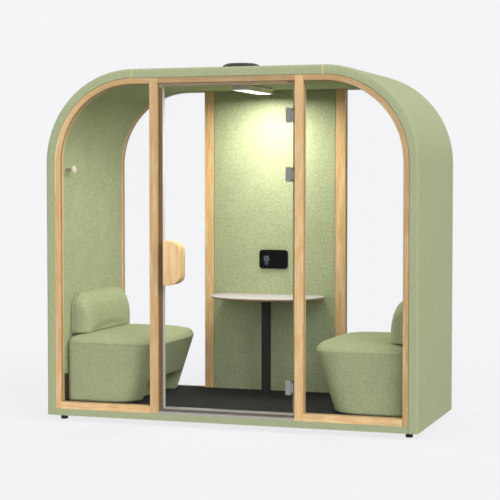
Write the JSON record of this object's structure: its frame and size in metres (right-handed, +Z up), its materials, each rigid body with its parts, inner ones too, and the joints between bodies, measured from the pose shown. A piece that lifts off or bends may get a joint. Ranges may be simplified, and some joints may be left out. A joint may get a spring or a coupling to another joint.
{
  "type": "acoustic office pod",
  "caption": "Arched fabric-covered office pod with timber frames, glass walls, a hinged glass door, facing upholstered benches, a wall table, a lamp and a roof vent.",
  "frame": {"origin": "on the ground under the middle of the whole pod, the outer door handle included", "axes": "+X to the right as one faces the door, +Y from the door to the back, +Z up"},
  "size_m": [2.422, 1.0944, 2.274],
  "materials": {
    "green_fabric": "fine woven wool felt",
    "cushion_fabric": "fine woven wool over foam",
    "timber": "clear matt lacquer",
    "plywood": "raw board",
    "clear_glass": "polished",
    "brass": "satin",
    "champagne_metal": "satin anodised",
    "hinge_metal": "satin",
    "black_metal": "satin powder coat",
    "black_plastic": "fine grained",
    "seal_rubber": "matt",
    "carpet": "short loop pile",
    "white_laminate": "satin",
    "lamp_body": "satin",
    "lamp_lens": "frosted, lit"
  },
  "bodies": {
    "pod": {"plinth": "green_fabric", "floor_deck": "plywood", "carpet": "carpet", "left_wall_shell": "green_fabric", "right_wall_shell": "green_fabric", "roof_panel": "green_fabric", "left_seam_strip": "brass", "right_seam_strip": "brass", "left_lining": "green_fabric", "right_lining": "green_fabric", "ceiling_lining": "green_fabric", "front_left_stile": "timber", "front_right_stile": "timber", "front_left_mullion": "timber", "front_right_mullion": "timber", "front_left_sill": "timber", "front_right_sill": "timber", "front_head_rail": "timber", "front_left_glass": "clear_glass", "front_right_glass": "clear_glass", "back_left_stile": "timber", "back_right_stile": "timber", "back_left_post": "timber", "back_right_post": "timber", "back_sill": "timber", "back_head_rail": "timber", "back_left_glass": "clear_glass", "back_right_glass": "clear_glass", "back_panel": "green_fabric", "door_stop_frame": "champagne_metal", "door_threshold": "champagne_metal", "door_seal": "seal_rubber", "lower_hinge_leaf": "hinge_metal", "middle_hinge_leaf": "hinge_metal", "upper_hinge_leaf": "hinge_metal", "lamp_housing": "lamp_body", "lamp_diffuser": "lamp_lens", "vent_cap": "black_plastic", "fan_housing": "black_plastic", "table_top": "white_laminate", "table_column": "black_metal", "control_panel": "black_plastic", "left_bench_base": "green_fabric", "right_bench_base": "green_fabric", "left_seat_pad": "cushion_fabric", "right_seat_pad": "cushion_fabric", "left_back_cushion": "cushion_fabric", "right_back_cushion": "cushion_fabric", "coat_hook": "timber"},
    "door": {"door_glass": "clear_glass", "lower_hinge_clamp": "hinge_metal", "middle_hinge_clamp": "hinge_metal", "upper_hinge_clamp": "hinge_metal", "outer_handle": "timber", "inner_handle": "timber"},
    "fan": {"fan_rotor": "black_plastic"},
    "foot_front_left": {"levelling_foot_front_left": "black_plastic"},
    "foot_front_right": {"levelling_foot_front_right": "black_plastic"},
    "foot_back_left": {"levelling_foot_back_left": "black_plastic"},
    "foot_back_right": {"levelling_foot_back_right": "black_plastic"}
  },
  "joints": [
    {"name": "door_swing", "type": "hinge", "parent": "pod", "child": "door", "pos_m": [0.434, -0.49585, 1.115], "axis": [0, 0, 1], "range_deg": [0, 90]},
    {"name": "fan_spin", "type": "hinge", "parent": "pod", "child": "fan", "pos_m": [0, -0.19785, 2.2083], "axis": [0, 0, 1], "continuous": true},
    {"name": "foot_front_left_screw", "type": "slide", "parent": "pod", "child": "foot_front_left", "axis": [0, 0, -1], "range_m": [0, 0.02]},
    {"name": "foot_front_right_screw", "type": "slide", "parent": "pod", "child": "foot_front_right", "axis": [0, 0, -1], "range_m": [0, 0.02]},
    {"name": "foot_back_left_screw", "type": "slide", "parent": "pod", "child": "foot_back_left", "axis": [0, 0, -1], "range_m": [0, 0.02]},
    {"name": "foot_back_right_screw", "type": "slide", "parent": "pod", "child": "foot_back_right", "axis": [0, 0, -1], "range_m": [0, 0.02]}
  ]
}
